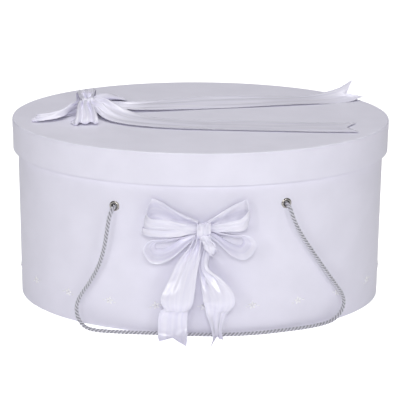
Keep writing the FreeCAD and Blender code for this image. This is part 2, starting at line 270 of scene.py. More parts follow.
@dataclass(frozen=True)
class NickelPlate(Finish):
    """Bright nickel plate on a pressed brass eyelet: mirror-like, with faint press marks."""

    mark_mm: float = 1.4
    mark_depth_mm: float = 0.03

    def surface(self, tree: Tree, shader: Node) -> None:
        """Adds uneven polish and press marks.

        Args:
            tree: The material's node tree.
            shader: Its shader.
        """
        place = add_node(tree, "ShaderNodeTexCoord").outputs["Object"]
        marks = add_node(tree, "ShaderNodeTexNoise", grain(self.mark_mm, 4.0), {"Vector": place})
        span = {"To Min": self.roughness * 0.5, "To Max": self.roughness * 1.7}
        gloss = add_node(tree, "ShaderNodeMapRange", span, {"Value": marks.outputs["Fac"]})
        dents = add_node(tree, "ShaderNodeBump", relief(self.mark_depth_mm), {"Height": marks.outputs["Fac"]})
        connect(shader, {"Roughness": gloss.outputs["Result"], "Normal": dents.outputs["Normal"]})


@dataclass(frozen=True)
class Satin(Finish):
    """Woven polyester satin: long floats along the ribbon, which gloss across their own length."""

    shade: str = "ECEAFA"
    thread_mm: float = 0.5  # the threads are about 0.1 mm, drawn coarser so that they show
    thread_depth_mm: float = 0.012
    half_width_mm: float = 20.0
    selvedge_mm: float = 0.9
    selvedge_depth_mm: float = 0.25

    def surface(self, tree: Tree, shader: Node) -> None:
        """Adds threads along the ribbon, slubs, a ribbed selvedge and the weave's directional gloss.

        Args:
            tree: The material's node tree.
            shader: Its shader.
        """
        flat = add_node(tree, "ShaderNodeUVMap", {"uv_map": "ribbon"}).outputs["UV"]
        stretched = add_node(tree, "ShaderNodeMapping", {"Scale": (1.0, 0.06, 1.0)}, {"Vector": flat})
        lengthwise = {"Vector": stretched.outputs["Vector"]}
        threads = add_node(tree, "ShaderNodeTexNoise", grain(self.thread_mm, 2.0), lengthwise)
        slubs = add_node(tree, "ShaderNodeTexNoise", grain(self.thread_mm * 9, 1.0), lengthwise)
        face = mottle(tree, slubs.outputs["Fac"], self.shade, self.colour)
        across = add_node(tree, "ShaderNodeSeparateXYZ", links={"Vector": flat}).outputs["X"]
        off = add_node(tree, "ShaderNodeMath", {"operation": "ABSOLUTE"}, {0: across})
        inner = self.half_width_mm - self.selvedge_mm
        span = {"From Min": inner * MM, "From Max": self.half_width_mm * MM}
        edge = add_node(tree, "ShaderNodeMapRange", span, {"Value": off.outputs["Value"]})
        raised = {"Height": edge.outputs["Result"]}
        rib = add_node(tree, "ShaderNodeBump", relief(self.selvedge_depth_mm), raised)
        heights = {"Height": threads.outputs["Fac"], "Normal": rib.outputs["Normal"]}
        weave = add_node(tree, "ShaderNodeBump", relief(self.thread_depth_mm), heights)
        tangent = add_node(tree, "ShaderNodeTangent", {"direction_type": "UV_MAP", "uv_map": "ribbon"})
        connect(shader, {"Base Color": face, "Normal": weave.outputs["Normal"]})
        connect(shader, {"Tangent": tangent.outputs["Tangent"]})
        adjust(shader, {"Anisotropic": 0.55, "Specular IOR Level": 0.75})
        adjust(shader, {"Sheen Weight": 0.25, "Sheen Roughness": 0.35})


@dataclass(frozen=True)
class ViscoseYarn(Finish):
    """Filament viscose: each strand is itself twisted from fine, shiny yarns."""

    # painted shade: the colour in the valleys between the yarns' ridges
    shade: str = "DAD9E4"
    # painted shade: the colour on each strand's inner side, where it turns in between the others
    painted_groove_shade: str = "A6A5AF"
    strand_mm: float = 1.15  # a strand's radius
    yarn_mm: float = 0.55  # drawn coarser than the real 0.3 mm
    yarn_depth_mm: float = 0.12
    yarn_slant: float = -38  # degrees from the strand's own direction

    def surface(self, tree: Tree, shader: Node) -> None:
        """Adds the yarns' slanting ridges, with painted shade in the valleys between the yarns and on each
        strand's inner side.

        Args:
            tree: The material's node tree.
            shader: Its shader.
        """
        flat = add_node(tree, "ShaderNodeUVMap", {"uv_map": "strand"}).outputs["UV"]
        turn = (0.0, 0.0, math.radians(self.yarn_slant))
        slant = add_node(tree, "ShaderNodeMapping", {"Rotation": turn}, {"Vector": flat})
        bands = {"Scale": 1 / (self.yarn_mm * MM * 2 * math.pi), "Distortion": 1.2, "Detail": 2.0}
        yarns = add_node(tree, "ShaderNodeTexWave", bands, {"Vector": slant.outputs["Vector"]})
        # Painted shade: the wave that raises the yarns' ridges also darkens the valleys between them.
        face = mottle(tree, yarns.outputs["Fac"], self.shade, self.colour)
        # Painted shade: each strand darkens towards its inner side, between the others, down to the groove
        # colour.
        round_it = add_node(tree, "ShaderNodeSeparateXYZ", links={"Vector": flat}).outputs["X"]
        by_radius = {"operation": "MULTIPLY", 1: 1 / (self.strand_mm * MM)}
        angle = add_node(tree, "ShaderNodeMath", by_radius, {0: round_it})
        outward = add_node(tree, "ShaderNodeMath", {"operation": "COSINE"}, {0: angle.outputs["Value"]})
        span = {"From Min": 0.1, "From Max": 0.85}
        shown = add_node(tree, "ShaderNodeMapRange", span, {"Value": outward.outputs["Value"]})
        painted_shade_settings = {"data_type": "RGBA", 6: linear(self.painted_groove_shade)}
        depth = add_node(tree, "ShaderNodeMix", painted_shade_settings, {0: shown.outputs["Result"], 7: face})
        heights = {"Height": yarns.outputs["Fac"]}
        ridges = add_node(tree, "ShaderNodeBump", relief(self.yarn_depth_mm), heights)
        connect(shader, {"Base Color": depth.outputs[2], "Normal": ridges.outputs["Normal"]})
        adjust(shader, {"Sheen Weight": 0.3})


@dataclass(frozen=True)
class Lacquer(Finish):
    """A thick printed or sprayed lacquer with a soft, slightly orange-peeled skin."""

    coat: float = 0.3
    peel_mm: float = 1.5
    peel_depth_mm: float = 0.08

    def surface(self, tree: Tree, shader: Node) -> None:
        """Adds the orange-peel skin and a clear coat.

        Args:
            tree: The material's node tree.
            shader: Its shader.
        """
        place = add_node(tree, "ShaderNodeTexCoord").outputs["Object"]
        peel = add_node(tree, "ShaderNodeTexNoise", grain(self.peel_mm, 2.0), {"Vector": place})
        skin = add_node(tree, "ShaderNodeBump", relief(self.peel_depth_mm), {"Height": peel.outputs["Fac"]})
        connect(shader, {"Normal": skin.outputs["Normal"]})
        adjust(shader, {"Coat Weight": self.coat, "Coat Roughness": 0.12})


FINISHES: dict[Slot, Finish] = {
    Slot.COVER: CoveringPaper("calendered_covering_paper", "F1EFFC", 0.42),
    Slot.LINING: CoveringPaper("uncoated_lining_paper", "ECEBF0", 0.75, shade="E2E1E8"),
    Slot.BOARD: Board("grey_pasteboard", "A8A296", 0.9),
    Slot.METAL: NickelPlate("nickel_plated_brass", "B4B0AA", 0.16, metallic=1.0),
    Slot.SATIN: Satin("woven_polyester_satin", "F5F3FF", 0.27, ior=1.54),
    Slot.CORD: ViscoseYarn("twisted_viscose", "E9E8EF", 0.38, ior=1.53),
    Slot.FLOWER: Lacquer("puff_printed_lacquer", "FCFBFF", 0.35),
    Slot.PEARL: Lacquer("pearl_lacquered_bead", "F4F2F8", 0.18, coat=0.8),
}


# --- Making pieces ---


def deselect() -> None:
    """Leaves nothing selected, so that an operator acts only on what is chosen next."""
    bpy.ops.object.select_all(action="DESELECT")


def choose(pieces: list[Piece]) -> None:
    """Selects only these pieces, with the first one active.

    Args:
        pieces: The pieces, at least one.
    """
    deselect()
    for piece in pieces:
        piece.select_set(True)
    bpy.context.view_layer.objects.active = pieces[0]


def join(pieces: list[Piece], name: str) -> Piece:
    """Joins pieces into one.

    Args:
        pieces: The pieces, of which the first takes up the others.
        name: The joined piece's name.

    Returns:
        The joined piece.
    """
    choose(pieces)
    bpy.ops.object.join()
    pieces[0].name = name
    return pieces[0]


def add_object(name: str, data: bpy.types.ID) -> Piece:
    """Adds an object to the scene.

    Args:
        name: Its name.
        data: Its mesh, curve, light or camera.

    Returns:
        The new object.
    """
    obj = bpy.data.objects.new(name, data)
    bpy.context.scene.collection.objects.link(obj)
    return obj


def settle(obj: Piece) -> Piece:
    """Applies an object's place, turn and size to its mesh.

    Args:
        obj: The object.

    Returns:
        The same object, now at the origin.
    """
    obj.data.transform(obj.matrix_world)
    obj.matrix_world = Matrix.Identity(4)
    return obj


class Workshop:
    """Holds the finishes and hands finished pieces to the frame."""

    def __init__(self) -> None:
        """Builds every finish once."""
        self.materials = {slot: finish.build() for slot, finish in FINISHES.items()}

    def dress(self, obj: Piece, slot: Slot) -> None:
        """Gives a piece a slot's material, and nothing else."""
        obj.data.materials.clear()
        obj.data.materials.append(self.materials[slot])

    def deliver(self, obj: Piece, body: Body, slot: Slot, stands_for: tuple[str, ...] = ()) -> None:
        """Dresses a new piece, sets it on its body and reports it.

        Args:
            obj: The piece.
            body: The body that it moves with.
            slot: The material slot that it takes its finish from.
            stands_for: The model's nodes that it is shown in place of.
        """
        self.dress(obj, slot)
        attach(obj, body.value)
        if stands_for:
            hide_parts(*stands_for)
        LOG.info("%s: %d faces on %s, %s", obj.name, len(obj.data.polygons), body.value, slot.value)


def mesh_object(name: str, points: np.ndarray, faces: list[tuple[int, ...]]) -> Piece:
    """Makes a smooth-shaded mesh object.

    Args:
        name: The piece's name.
        points: Vertices, in millimetres.
        faces: Vertex numbers of each face.

    Returns:
        The linked object.
    """
    mesh = bpy.data.meshes.new(name)
    mesh.from_pydata((points * MM).tolist(), [], faces)
    mesh.update()
    mesh.shade_smooth()
    return add_object(name, mesh)


def grid_faces(rows: int, columns: int, closed: bool = False) -> list[tuple[int, int, int, int]]:
    """Faces of a grid of points, stored row by row.

    Args:
        rows: How many rows of points.
        columns: How many points in each.
        closed: Whether each row joins its end to its start.

    Returns:
        One quad for each cell.
    """
    last = columns if closed else columns - 1
    faces = []
    for r in range(rows - 1):
        row, next_row = r * columns, (r + 1) * columns
        for c in range(last):
            beside = (c + 1) % columns
            faces.append((row + c, row + beside, next_row + beside, next_row + c))
    return faces


def distance_along(points: np.ndarray) -> np.ndarray:
    """How far along a line of points each of them is."""
    return np.concatenate([[0.0], np.cumsum(np.linalg.norm(np.diff(points, axis=0), axis=1))])


def apply_modifiers(obj: Piece) -> None:
    """Applies all of an object's modifiers, in order.

    Args:
        obj: The object.
    """
    choose([obj])
    for modifier in list(obj.modifiers):
        bpy.ops.object.modifier_apply(modifier=modifier.name)


# --- Ribbons ---


@dataclass(frozen=True)
class Station:
    """One place along a ribbon: its middle, half its width across, and how it is gathered there.

    pleat is the share of the ribbon's spare width that its gathers take up, and curl is how far
    the edges stand off the middle.
    """

    middle: Triple
    across: Triple
    pleat: float = 0.0
    curl: float = 0.0


def route(*places: tuple) -> tuple[Station, ...]:
    """Stations, each from a tuple of what a Station holds."""
    return tuple(Station(*place) for place in places)


def curve_through(values: np.ndarray, per_span: int) -> np.ndarray:
    """A smooth curve through rows of values.

    Args:
        values: One row for each station.
        per_span: Steps from one station to the next.

    Returns:
        The rows of the whole curve.
    """
    padded = np.vstack([2 * values[0] - values[1], values, 2 * values[-1] - values[-2]])
    rows = []
    for i in range(1, len(padded) - 2):
        a, b, c, d = padded[i - 1 : i + 3]
        for t in np.arange(per_span) / per_span:
            bend = 2 * a - 5 * b + 4 * c - d
            twist = 3 * b - a - 3 * c + d
            rows.append(0.5 * (2 * b + (c - a) * t + bend * t**2 + twist * t**3))
    rows.append(values[-1])
    return np.array(rows)


@dataclass(frozen=True)
class Ribbon:
    """A length of satin ribbon, shaped by its stations."""

    name: str
    stations: tuple[Station, ...]
    seed: float = 0.0
    fold: float = 1.0  # height of the loose folds between the gathers
    slow_fold: float = 2.0  # shares of that height in the slow and in the small folds
    small_fold: float = 0.7
    fold_left: float = 0.35  # share of the folds that is left where the ribbon is drawn together
    fold_length: float = 45.0
    folds_across: float = 1.6
    gathers: float = 2.5
    tuck: float = 0.0  # step between layers where the spare width is folded under, or 0 if gathered
    ridge_height: float = 0.8  # of the shallow ridges on a ribbon that is folded under
    cut: Cut = Cut.STRAIGHT
    cut_depth: float = 13.0
    rests_on: tuple[str, ...] = ("body_cover",)
    held: Held = Held.FOLDED
    half_width: float = 20.0
    thickness: float = 0.35
    per_span: int = 12
    columns: int = 41

    def points(self) -> tuple[np.ndarray, np.ndarray]:
        """Works out the ribbon's surface.

        Returns:
            The vertices, row by row, and the distance along the ribbon of each row.
        """
        given = [(*s.middle, *s.across, s.pleat, s.curl) for s in self.stations]
        rows = curve_through(np.array(given), self.per_span)
        middle, across, pleat, curl = rows[:, 0:3], rows[:, 3:6], rows[:, 6], rows[:, 7]
        along = np.gradient(middle, axis=0)
        face = np.cross(along, across)
        face /= np.linalg.norm(face, axis=1)[:, None]
        run = distance_along(middle)
        spread = np.linspace(-1, 1, self.columns)
        half = np.linalg.norm(across, axis=1)
        spare = np.sqrt(np.clip(self.half_width**2 - half**2, 0, None)) / (2 * self.gathers)
        surface = np.zeros((len(rows), self.columns, 3))
        for r in range(len(rows)):
            open_here = min(1.0, half[r] / self.half_width)
            loose = self.fold_left + (1 - self.fold_left) * open_here
            for c, u in enumerate(spread):
                x, y = u * self.folds_across, run[r] / self.fold_length
                wander = noise.noise(Vector((x, y, self.seed)))
                small = noise.noise(Vector((x * 2.7, y * 1.3, self.seed + 9)))
                gather = math.cos(math.pi * self.gathers * (u + 0.25 * wander))
                folds = wander * self.slow_fold + small * self.small_fold
                lift = curl[r] * u * u + self.fold * folds * loose
                place = u
                if self.tuck:
                    reach = abs(u) / open_here
                    place = math.copysign(1.0, u) * (1 - abs((reach + 1) % 4 - 2))
                    ridge = math.cos(math.pi * self.gathers * (place + 0.3 * wander))
                    lift += self.tuck * max(0.0, reach - 1) + self.ridge_height * pleat[r] * ridge
                else:
                    lift += pleat[r] * spare[r] * gather
                surface[r, c] = middle[r] + across[r] * place + face[r] * lift
        if self.cut is Cut.SWALLOWTAIL:
            self.notch(surface, run, along, spread)
        return surface, run

    def notch(self, surface: np.ndarray, run: np.ndarray, along: np.ndarray, spread: np.ndarray) -> None:
        """Draws the middle of the last end back, so that two tips are left.

        Args:
            surface: The ribbon's vertices, row by row, which are moved.
            run: The distance along the ribbon of each row.
            along: The ribbon's direction at each row.
            spread: Where each column is across the ribbon, from -1 to 1.
        """
        reach = self.cut_depth * 2.2
        for r in range(len(run)):
            near = max(0.0, 1 - (run[-1] - run[r]) / reach)
            back = along[r] / np.linalg.norm(along[r])
            for c, u in enumerate(spread):
                surface[r, c] -= back * self.cut_depth * near * (1 - abs(u))

    def build(self) -> Piece:
        """Makes the ribbon as a thin closed sheet, with a map that runs across and along it.

        Returns:
            The new object.
        """
        surface, run = self.points()
        rows, columns = surface.shape[:2]
        obj = mesh_object(self.name, surface.reshape(-1, 3), grid_faces(rows, columns))
        layer = obj.data.uv_layers.new(name="ribbon")
        spread = np.linspace(-1, 1, columns) * self.half_width * MM
        for loop in obj.data.loops:
            r, c = divmod(loop.vertex_index, columns)
            layer.data[loop.index].uv = (spread[c], run[r] * MM)
        solid = obj.modifiers.new("thickness", "SOLIDIFY")
        solid.thickness = self.thickness * MM
        solid.offset = 0.0
        smooth = obj.modifiers.new("smooth", "SUBSURF")
        smooth.levels = smooth.render_levels = 1
        apply_modifiers(obj)
        obj.data.shade_smooth()
        return obj

    def declare(self, obj: Piece) -> None:
        """Args:
            obj: The ribbon's object. It is not used.
        """
        _, run = self.points()


def tie(shop: Workshop, ribbons: list[tuple[Ribbon, tuple[str, ...]]], body: Body) -> None:
    """Makes and delivers a bow's ribbons.

    Args:
        shop: The workshop.
        ribbons: Pairs of a ribbon and the nodes that it stands for.
        body: The body that the bow is fixed to.
    """
    for ribbon, nodes in ribbons:
        obj = ribbon.build()
        shop.deliver(obj, body, Slot.SATIN, nodes)
        ribbon.declare(obj)


def wrap(
    centre: Triple, radii: tuple[float, float], half: float, axis: Triple
) -> tuple[Station, ...]:
    """Stations of a ribbon wound once round a knot.

    Args:
        centre: The knot's middle.
        radii: The winding's half sizes, upwards and sideways.
        half: Half the gathered ribbon's width.
        axis: The direction that it is wound round, about level.

    Returns:
        The stations.
    """
    axis_v, up_v = Vector(axis).normalized(), Vector((0, 0, 1))
    side = axis_v.cross(up_v)
    count, turns = 11, 1.06
    stations = []
    for i in range(count):
        angle = 2 * math.pi * turns * i / (count - 1) - math.pi / 2
        swell = 1 + 0.05 * math.sin(2.2 * angle)
        high, wide = radii[0] * math.sin(angle) * swell, radii[1] * math.cos(angle) * swell
        place = Vector(centre) + up_v * high + side * wide
        stations.append(Station(tuple(place), tuple(axis_v * half), pleat=0.85, curl=1.8))
    return tuple(stations)


@dataclass(frozen=True)
class FrontBow:
    """The bow tied on the front wall."""

    knot_middle: Triple = (4, -165, 134.5)
    knot_radii: tuple[float, float] = (7.5, 10.5)
    knot_half: float = 8.5
    knot_axis: Triple = (1, 0, 0.15)

    def ribbons(self) -> list[tuple[Ribbon, tuple[str, ...]]]:
        """The bow's ribbons, each with the nodes that it stands for.

        Returns:
            Pairs of a ribbon and node names.
        """
        upper_left = Ribbon("satin_left_upper_loop", route(
            ((-2, -160, 138), (0, 0, 5), 1.0),
            ((-16, -157, 140), (0, 0, 8), 0.9),
            ((-34, -155, 145), (2, 0, 11), 0.7),
            ((-47, -154, 150), (4, 0, 13), 0.4),
            ((-56, -157, 151), (1, 0, 17), 0.1),
            ((-63, -164, 143), (3, 1, 13), 0.1, 1.0),
            ((-57, -171, 139), (1, 0, 11), 0.25, 2.0),
            ((-40, -175, 139), (0, -1, 11), 0.3, 2.0),
            ((-25, -173, 137), (0, 0, 9), 0.55, 1.0),
            ((-12, -170, 136), (0, 0, 6), 0.9),
            ((-1, -167, 135), (0, 0, 4), 1.0),
        ), seed=3.1, fold=1.3, tuck=-0.8, gathers=1.6)
        lower_left = Ribbon("satin_left_lower_loop", route(
            ((-2, -162, 133), (0, -5, 1), 0.9),
            ((-18, -163, 126), (0, -6, 3), 0.9),
            ((-38, -165, 121.5), (-1, -7, 5), 0.5),
            ((-53, -166, 120), (-5, -8, 5), 0.3),
            ((-58, -167, 111), (-8, -7, 0), 0.2),
            ((-50, -167, 103), (-4, -8, -7), 0.3),
            ((-35, -166, 106), (1, -8, -6), 0.5),
            ((-16, -164, 120), (2, -6, -4), 0.9),
            ((-1, -163, 130), (0, -5, -1), 0.94),
        ), seed=7.7, fold=1.4, tuck=0.7, gathers=1.6)
        upper_right = Ribbon("satin_right_upper_loop", route(
            ((8, -160, 138), (0, 0, -5), 1.0),
            ((20, -157, 142), (0, 0, -8), 0.9),
            ((34, -155, 148), (-2, 0, -12), 0.6),
            ((45, -155, 152), (-3, 1, -14), 0.3),
            ((51, -158, 153), (-1, 1, -15), 0.2),
            ((54, -165, 148), (0, -1, -10), 0.5),
            ((46, -171, 142), (1, -2, -7), 0.9),
            ((32, -172, 140), (1, -1, -6), 1.0),
            ((20, -170, 138), (0, 0, -5), 1.0),
            ((8, -166, 136), (0, 0, -4), 1.0),
        ), seed=5.2, fold=1.3, tuck=-0.8, gathers=1.6)
        lower_right = Ribbon("satin_right_lower_loop", route(
            ((8, -162, 133), (0, 5, -1), 0.9),
            ((21, -163, 130), (0, 6, -3), 0.9),
            ((38, -165, 127.5), (1, 7, -4), 0.5),
            ((51, -166, 126.5), (-5, 8, -4), 0.3),
            ((56, -167, 118), (-8, 7, 0), 0.2),
            ((48, -167, 108.5), (-4, 8, 6), 0.3),
            ((34, -166, 112), (-1, 8, 6), 0.5),
            ((18, -164, 124), (-1, 6, 4), 0.9),
            ((8, -163, 130), (0, 5, 1), 0.94),
        ), seed=1.4, fold=1.4, tuck=0.7, gathers=1.6)
        left_tail = Ribbon("satin_left_tail", route(
            ((-2, -167, 129), (4, 0, 1), 1.0),
            ((-5, -171, 118), (7, 0, 2), 0.9),
            ((-13, -174, 100), (13, -1, 3), 0.5),
            ((-20, -179, 80), (16, -1, 3), 0.15, -2.0),
            ((-25, -185, 62), (19, 0, 2), 0.0, -3.0),
            ((-26, -186, 50), (18, 0, 0), 0.0, -4.0),
            ((-26, -179, 40), (15, 0, 0), 0.1, -3.0),
            ((-29, -168, 35), (16, 0, 0), 0.1, -1.0),
            ((-31, -164, 25), (17, 0, 0), 0.1),
            ((-31, -164, 12), (17, -1, 0), 0.1),
            ((-31, -170, 3.5), (17, -4, 0), 0.1),
            ((-31, -182, 1.2), (16, -7, 0), 0.0),
        ), seed=2.6, fold=0.6, cut=Cut.SWALLOWTAIL, held=Held.HUNG)
        right_tail = Ribbon("satin_right_tail", route(
            ((9, -167, 129), (3, 0, 1), 1.0),
            ((7, -168, 112), (3, -2, 0), 1.0),
            ((5, -169, 97), (3, -5, 1), 1.0),
            ((6, -171, 86), (5, -6, 4), 0.9),
            ((12, -175, 75), (11, -4, 6), 0.5, -1.0),
            ((20, -181, 62), (17, -3, 4), 0.0, -2.0),
            ((22, -183, 51), (18, -1, 0), 0.0, -3.0),
            ((21, -177, 41), (15, 2, -2), 0.1, -2.0),
            ((20, -171, 33), (12, 8, -3), 0.3, -1.0),
            ((20, -169, 20), (8, 11, -2), 0.3),
            ((20, -171, 7), (6, 11, 0), 0.3),
            ((20, -184, 1.5), (8, 10, 0), 0.2),
        ), seed=8.3, fold=0.6, cut=Cut.SWALLOWTAIL, held=Held.HUNG)
        one_turn = wrap(self.knot_middle, self.knot_radii, self.knot_half, self.knot_axis)
        knot = Ribbon("satin_knot", one_turn + route(
            ((8, -171, 123), (5, -1, 2), 1.0, 1.0),
            ((13, -175, 116), (5, -2, 5), 1.0, 2.0),
            ((15, -170, 109), (3, 1, 4), 1.0, 1.0),
        ), seed=4.4, fold=0.9, fold_length=14.0, tuck=0.9)
        return [
            (upper_left, ("bow_left_upper_loop",)),
            (lower_left, ("bow_left_lower_loop",)),
            (upper_right, ("bow_right_upper_loop",)),
            (lower_right, ("bow_right_lower_loop",)),
            (left_tail, ("bow_left_tail",)),
            (right_tail, ("bow_right_tail",)),
            (knot, ("bow_knot",)),
        ]

    def build(self, shop: Workshop) -> None:
        """Makes the whole bow."""
        tie(shop, self.ribbons(), Body.BOX)


@dataclass(frozen=True)
class LidBow:
    """The bow laid on the lid, with its two long tails."""

    top: float = 221.5
    knot_middle: Triple = (-136, 10, 10)
    knot_radii: tuple[float, float] = (8.5, 8.5)
    knot_half: float = 8.5
    knot_axis: Triple = (0.95, 0.3, 0)

    def lifted(self, name: str, stations: tuple[Station, ...], **options: object) -> Ribbon:
        """Makes a ribbon whose stations' heights are counted from the lid's top.

        Args:
            name: The piece's name.
            stations: The ribbon's stations.
            options: The ribbon's other fields.

        Returns:
            The ribbon, at the lid's height.
        """
        raised = []
        for s in stations:
            x, y, z = s.middle
            raised.append(Station((x, y, z + self.top), s.across, s.pleat, s.curl))
        return Ribbon(name, tuple(raised), rests_on=("lid_top_cover",), **options)

    def ribbons(self) -> list[tuple[Ribbon, tuple[str, ...]]]:
        """The bow's ribbons, each with the nodes that it stands for.

        Returns:
            Pairs of a ribbon and node names.
        """
        rear_left = self.lifted("lid_satin_rear_left_loop", route(
            ((-138, 18, 5), (4, 0, 0), 0.9),
            ((-140, 30, 5), (8, 1, 0), 0.9),
            ((-141, 44, 5), (11, 1, 0), 0.9),
            ((-142, 56, 7), (12, 1, 0), 0.7),
            ((-141, 59, 12), (12, 1, 0), 0.7),
            ((-140, 50, 16), (11, 1, 0), 0.7),
            ((-139, 36, 15), (9, 1, 0), 0.9),
            ((-137, 22, 11), (4, 0, 0), 0.9),
        ), seed=6.1)
        left_front = self.lifted("lid_satin_left_front_loop", route(
            ((-144, 6, 11), (1, 5, 3), 1.0),
            ((-154, -5, 12), (3, 9, 3), 0.9, 2.0),
            ((-166, -16, 8), (5, 14, 1), 0.6, 3.0),
            ((-181, -23, 5), (6, 14, 0), 0.5, 2.0),
            ((-193, -24, 3), (5, 12, 0), 0.5, 1.0),
            ((-196, -22, 2), (4, 12, 0), 0.5),
            ((-184, -17, 1.5), (5, 13, 0), 0.5),
            ((-164, -7, 2), (4, 10, 0), 0.8),
            ((-146, 5, 4), (1, 4, 0), 1.0),
        ), seed=2.2, fold=1.2)
        left_low = self.lifted("lid_satin_left_low_loop", route(
            ((-137, 4, 13), (5, 1, 0), 0.9),
            ((-138, -8, 15), (8, 1, 0), 0.9),
            ((-136, -26, 13), (11, 2, 0), 0.7),
            ((-134, -42, 7), (13, 0, 0), 0.5, 1.5),
            ((-135, -46, 3), (14, 2, 0), 0.5, 1.0),
            ((-140, -34, 2.5), (14, 4, 0), 0.6),
            ((-139, -14, 3), (9, 2, 0), 0.8),
            ((-137, 2, 5), (5, 1, 0), 0.9),
        ), seed=9.4, fold=1.2)
        rear_right = self.lifted("lid_satin_rear_right_loop", route(
            ((-133, 20, 9), (3, -4, 0), 0.9),
            ((-124, 30, 12), (6, -8, 0), 0.9),
            ((-112, 42, 12), (9, -11, -1), 0.7),
            ((-101, 52, 8), (10, -13, -1), 0.5),
            ((-98, 55, 5), (10, -13, -1), 0.5),
            ((-105, 47, 2.5), (9, -12, 0), 0.6),
            ((-118, 34, 3), (7, -8, 0), 0.9),
            ((-131, 22, 6), (3, -4, 0), 0.9),
        ), seed=1.9)
        front_tail = self.lifted("lid_satin_front_tail", route(
            ((-134, 6, 13), (3, 5, 0), 0.75),
            ((-122, 0, 14), (6, 11, 3), 0.7),
            ((-109, -11, 8), (8, 14, 4), 0.4, 1.0),
            ((-93, -24, 4), (9, 16, 2), 0.2, 1.0),
            ((-66, -36, 2.5), (6, 18, 0), 0.12),
            ((-20, -44, 1.6), (2, 19.5, 0), 0.12),
            ((40, -47, 1.4), (1, 20, 0), 0.06),
            ((110, -51, 1.4), (1, 20, 0), 0.06),
            ((185, -53, 1.6), (0, 20, 0), 0.06),
        ), seed=3.7, fold=0.35, cut=Cut.SWALLOWTAIL, held=Held.LAID, fold_length=80.0)
        rear_tail = self.lifted("lid_satin_rear_tail", route(
            ((-133, 11, 12), (2, 5, 0), 0.75),
            ((-116, 16, 8.5), (0, 9, 0), 0.87),
            ((-90, 24, 4.5), (-2, 14, 1), 0.5),
            ((-55, 32, 3.8), (-3, 18, 1), 0.19),
            ((0, 45, 3.6), (-4, 19.5, 2), 0.12),
            ((70, 57, 2.6), (-4, 19.5, 1), 0.06),
            ((130, 68, 1.8), (-4, 19, 0), 0.06),
            ((172, 77, 4), (-5, 17, 4), 0.06),
            ((197, 84, 13), (-6, 12, 8), 0.06),
        ), seed=5.9, fold=0.5, cut=Cut.SWALLOWTAIL, held=Held.LAID, fold_length=90.0, cut_depth=16.0)
        one_turn = wrap(self.knot_middle, self.knot_radii, self.knot_half, self.knot_axis)
        knot = self.lifted("lid_satin_knot", one_turn, seed=7.1, fold=0.5, tuck=0.9)
        return [
            (rear_left, ("lid_bow_left_rear_loop",)),
            (left_front, ("lid_bow_left_front_loop",)),
            (left_low, ("lid_bow_left_low_loop",)),
            (rear_right, ("lid_bow_right_rear_loop",)),
            (front_tail, ("lid_front_tail",)),
            (rear_tail, ("lid_rear_tail",)),
            (knot, ("lid_bow_knot",)),
        ]

    def build(self, shop: Workshop) -> None:
        """Makes the whole bow."""
        tie(shop, self.ribbons(), Body.LID)


# --- Cord handle ---

CORD_ROUTE: tuple[Triple, ...] = (
    (-96.02, -130.32, 152.1),
    (-101.58, -146.49, 152.1),
    (-105.5, -148.0, 131.0),
    (-109.0, -146.5, 106.0),
    (-116.0, -142.5, 81.0),
    (-127.5, -136.5, 58.0),
    (-139.0, -130.3, 40.0),
    (-144.5, -128.0, 25.0),
    (-142.5, -131.3, 11.0),
    (-134.5, -137.9, 3.2),
    (-124.0, -145.5, 2.5),
    (-104.0, -149.5, 2.5),
    (-78.0, -152.0, 2.5),
    (-48.0, -153.5, 2.5),
    (-12.0, -156.5, 2.5),
    (30.0, -157.0, 2.5),
    (66.0, -152.0, 2.5),
    (96.0, -143.0, 2.5),
    (124.0, -134.0, 2.5),
    (146.0, -122.5, 2.5),
    (160.0, -113.5, 4.5),
    (169.5, -107.8, 14.5),
    (171.0, -107.0, 29.5),
    (161.0, -114.5, 47.5),
    (148.5, -124.0, 67.0),
    (134.0, -132.5, 91.0),
    (119.0, -139.5, 115.0),
    (107.5, -145.5, 137.0),
    (101.58, -146.49, 156.9),
    (96.02, -130.32, 156.9),
)


